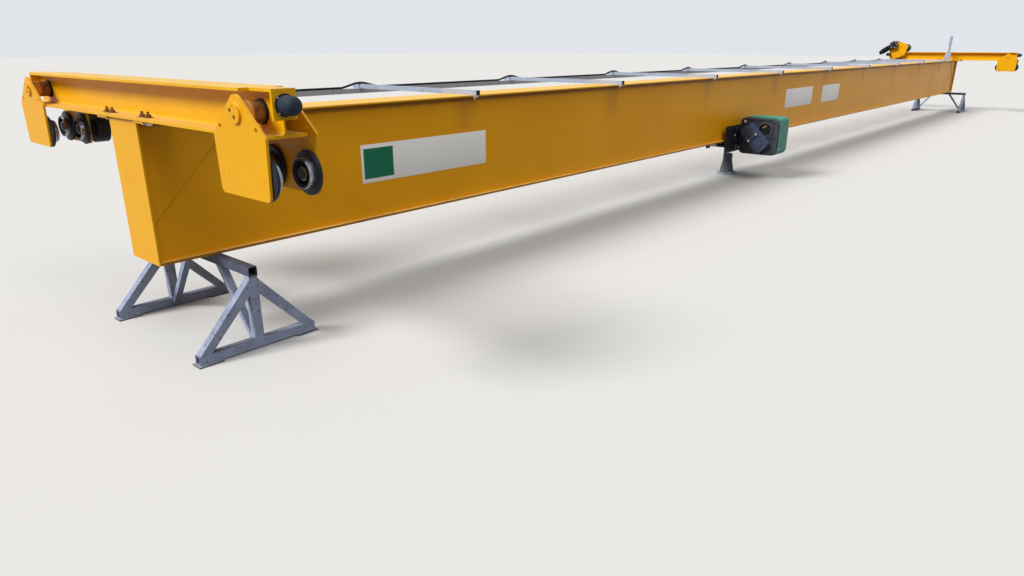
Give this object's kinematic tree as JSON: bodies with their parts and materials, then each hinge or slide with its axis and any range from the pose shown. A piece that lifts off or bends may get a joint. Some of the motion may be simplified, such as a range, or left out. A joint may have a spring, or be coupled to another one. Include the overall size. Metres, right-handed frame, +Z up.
{
  "type": "single-girder underslung overhead crane",
  "caption": "Underslung overhead crane: welded box girder with two end carriages on pivoting wheel trucks, trolley hoist, cable arms, resting on trestles",
  "frame": {"origin": "on the floor under the girder's middle, within 0.1 m of the middle of the overall box", "axes": "+X along the girder from the near end to the far end, +Y across it away from the hoist's side, +Z up"},
  "size_m": [20.1, 3.1373, 1.812],
  "materials": {
    "black_plastic": "matte",
    "zinc_steel": "dull zinc",
    "buffer_rubber": "matte",
    "crane_yellow": "semi-gloss paint",
    "boss_steel": "rusty brown paint",
    "block_grey": "worn grey paint",
    "drive_black": "matte black paint",
    "trestle_grey": "worn grey paint",
    "cable_black": "matte",
    "trolley_black": "satin black paint",
    "cover_teal": "semi-gloss",
    "hoist_blue_grey": "satin",
    "chain_steel": "oiled",
    "wheel_steel": "dark casting with a bright worn tread"
  },
  "bodies": {
    "frame": {"cable_arm_caps": "black_plastic", "cable_arm_clamps": "zinc_steel", "cable_arms": "zinc_steel", "cable_track": "zinc_steel", "carriage_buffers": "buffer_rubber", "carriage_head_plates": "crane_yellow", "carriage_pads": "crane_yellow", "carriage_pin_bosses": "boss_steel", "far_carriage_beam": "crane_yellow", "far_trestle_beam": "trestle_grey", "far_trestle_frames": "trestle_grey", "feed_cable": "cable_black", "feed_post": "zinc_steel", "girder_bottom_flange": "crane_yellow", "girder_end_plates": "crane_yellow", "girder_top_flange": "crane_yellow", "girder_web_doublers": "crane_yellow", "girder_webs": "crane_yellow", "near_carriage_beam": "crane_yellow", "near_trestle_beam": "trestle_grey", "near_trestle_frames": "trestle_grey"},
    "truck_near_front": {"truck_near_front_plates": "crane_yellow", "truck_near_front_pin": "crane_yellow"},
    "truck_near_front_wheel_a1": {"truck_near_front_wheel_a1": "wheel_steel"},
    "truck_near_front_wheel_a2": {"truck_near_front_wheel_a2": "wheel_steel"},
    "truck_near_front_wheel_b1": {"truck_near_front_wheel_b1": "wheel_steel"},
    "truck_near_front_wheel_b2": {"truck_near_front_wheel_b2": "wheel_steel"},
    "truck_near_rear": {"truck_near_rear_plates": "crane_yellow", "truck_near_rear_pin": "crane_yellow", "near_drive_gearbox": "drive_black", "near_drive_motor": "drive_black"},
    "truck_near_rear_wheel_a1": {"truck_near_rear_wheel_a1": "wheel_steel"},
    "truck_near_rear_wheel_a2": {"truck_near_rear_wheel_a2": "wheel_steel"},
    "truck_near_rear_wheel_b1": {"truck_near_rear_wheel_b1": "wheel_steel"},
    "truck_near_rear_wheel_b2": {"truck_near_rear_wheel_b2": "wheel_steel"},
    "truck_far_front": {"truck_far_front_plates": "crane_yellow", "truck_far_front_pin": "crane_yellow"},
    "truck_far_front_wheel_a1": {"truck_far_front_wheel_a1": "wheel_steel"},
    "truck_far_front_wheel_a2": {"truck_far_front_wheel_a2": "wheel_steel"},
    "truck_far_front_wheel_b1": {"truck_far_front_wheel_b1": "wheel_steel"},
    "truck_far_front_wheel_b2": {"truck_far_front_wheel_b2": "wheel_steel"},
    "truck_far_rear": {"truck_far_rear_plates": "crane_yellow", "truck_far_rear_pin": "crane_yellow", "far_drive_gearbox": "drive_black", "far_drive_motor": "drive_black"},
    "truck_far_rear_wheel_a1": {"truck_far_rear_wheel_a1": "wheel_steel"},
    "truck_far_rear_wheel_a2": {"truck_far_rear_wheel_a2": "wheel_steel"},
    "truck_far_rear_wheel_b1": {"truck_far_rear_wheel_b1": "wheel_steel"},
    "truck_far_rear_wheel_b2": {"truck_far_rear_wheel_b2": "wheel_steel"},
    "trolley": {"hoist_bracket": "trolley_black", "hoist_cover": "cover_teal", "hoist_end_casting": "hoist_blue_grey", "hoist_gear_case": "hoist_blue_grey", "trolley_plates": "trolley_black", "trolley_tie_bars": "trolley_black", "trolley_wheels": "trolley_black"},
    "chain_block": {"chain_block": "block_grey", "load_chain": "chain_steel"}
  },
  "joints": [
    {"name": "truck_near_front_swing", "type": "hinge", "parent": "frame", "child": "truck_near_front", "pos_m": [-9.92, -1.245, 1.334], "axis": [-1, 0, 0], "range_deg": [-17.21, 197.21]},
    {"name": "truck_near_front_wheel_a1_spin", "type": "hinge", "parent": "truck_near_front", "child": "truck_near_front_wheel_a1", "pos_m": [-9.834, -1.38, 1.087], "axis": [1, 0, 0], "continuous": true},
    {"name": "truck_near_front_wheel_a2_spin", "type": "hinge", "parent": "truck_near_front", "child": "truck_near_front_wheel_a2", "pos_m": [-9.834, -1.11, 1.087], "axis": [1, 0, 0], "continuous": true},
    {"name": "truck_near_front_wheel_b1_spin", "type": "hinge", "parent": "truck_near_front", "child": "truck_near_front_wheel_b1", "pos_m": [-10.006, -1.38, 1.087], "axis": [1, 0, 0], "continuous": true},
    {"name": "truck_near_front_wheel_b2_spin", "type": "hinge", "parent": "truck_near_front", "child": "truck_near_front_wheel_b2", "pos_m": [-10.006, -1.11, 1.087], "axis": [1, 0, 0], "continuous": true},
    {"name": "truck_near_rear_swing", "type": "hinge", "parent": "frame", "child": "truck_near_rear", "pos_m": [-9.92, 1.245, 1.334], "axis": [1, 0, 0], "range_deg": [-17.21, 197.21]},
    {"name": "truck_near_rear_wheel_a1_spin", "type": "hinge", "parent": "truck_near_rear", "child": "truck_near_rear_wheel_a1", "pos_m": [-10.006, 1.38, 1.087], "axis": [1, 0, 0], "continuous": true},
    {"name": "truck_near_rear_wheel_a2_spin", "type": "hinge", "parent": "truck_near_rear", "child": "truck_near_rear_wheel_a2", "pos_m": [-10.006, 1.11, 1.087], "axis": [1, 0, 0], "continuous": true},
    {"name": "truck_near_rear_wheel_b1_spin", "type": "hinge", "parent": "truck_near_rear", "child": "truck_near_rear_wheel_b1", "pos_m": [-9.834, 1.38, 1.087], "axis": [1, 0, 0], "continuous": true},
    {"name": "truck_near_rear_wheel_b2_spin", "type": "hinge", "parent": "truck_near_rear", "child": "truck_near_rear_wheel_b2", "pos_m": [-9.834, 1.11, 1.087], "axis": [1, 0, 0], "continuous": true},
    {"name": "truck_far_front_swing", "type": "hinge", "parent": "frame", "child": "truck_far_front", "pos_m": [9.92, -1.245, 1.334], "axis": [-1, 0, 0], "range_deg": [-17.21, 197.21]},
    {"name": "truck_far_front_wheel_a1_spin", "type": "hinge", "parent": "truck_far_front", "child": "truck_far_front_wheel_a1", "pos_m": [10.006, -1.38, 1.087], "axis": [1, 0, 0], "continuous": true},
    {"name": "truck_far_front_wheel_a2_spin", "type": "hinge", "parent": "truck_far_front", "child": "truck_far_front_wheel_a2", "pos_m": [10.006, -1.11, 1.087], "axis": [1, 0, 0], "continuous": true},
    {"name": "truck_far_front_wheel_b1_spin", "type": "hinge", "parent": "truck_far_front", "child": "truck_far_front_wheel_b1", "pos_m": [9.834, -1.38, 1.087], "axis": [1, 0, 0], "continuous": true},
    {"name": "truck_far_front_wheel_b2_spin", "type": "hinge", "parent": "truck_far_front", "child": "truck_far_front_wheel_b2", "pos_m": [9.834, -1.11, 1.087], "axis": [1, 0, 0], "continuous": true},
    {"name": "truck_far_rear_swing", "type": "hinge", "parent": "frame", "child": "truck_far_rear", "pos_m": [9.92, 1.245, 1.334], "axis": [1, 0, 0], "range_deg": [-214.42, 0]},
    {"name": "truck_far_rear_wheel_a1_spin", "type": "hinge", "parent": "truck_far_rear", "child": "truck_far_rear_wheel_a1", "pos_m": [9.834, 1.04296, 1.53], "axis": [1, 0, 0], "continuous": true},
    {"name": "truck_far_rear_wheel_a2_spin", "type": "hinge", "parent": "truck_far_rear", "child": "truck_far_rear_wheel_a2", "pos_m": [9.834, 1.30088, 1.60988], "axis": [1, 0, 0], "continuous": true},
    {"name": "truck_far_rear_wheel_b1_spin", "type": "hinge", "parent": "truck_far_rear", "child": "truck_far_rear_wheel_b1", "pos_m": [10.006, 1.04296, 1.53], "axis": [1, 0, 0], "continuous": true},
    {"name": "truck_far_rear_wheel_b2_spin", "type": "hinge", "parent": "truck_far_rear", "child": "truck_far_rear_wheel_b2", "pos_m": [10.006, 1.30088, 1.60988], "axis": [1, 0, 0], "continuous": true},
    {"name": "trolley_travel", "type": "slide", "parent": "frame", "child": "trolley", "axis": [1, 0, 0], "range_m": [-6.45, 11.77]},
    {"name": "block_lift", "type": "slide", "parent": "trolley", "child": "chain_block", "axis": [0, 0, 1], "range_m": [0, 0.088]}
  ]
}
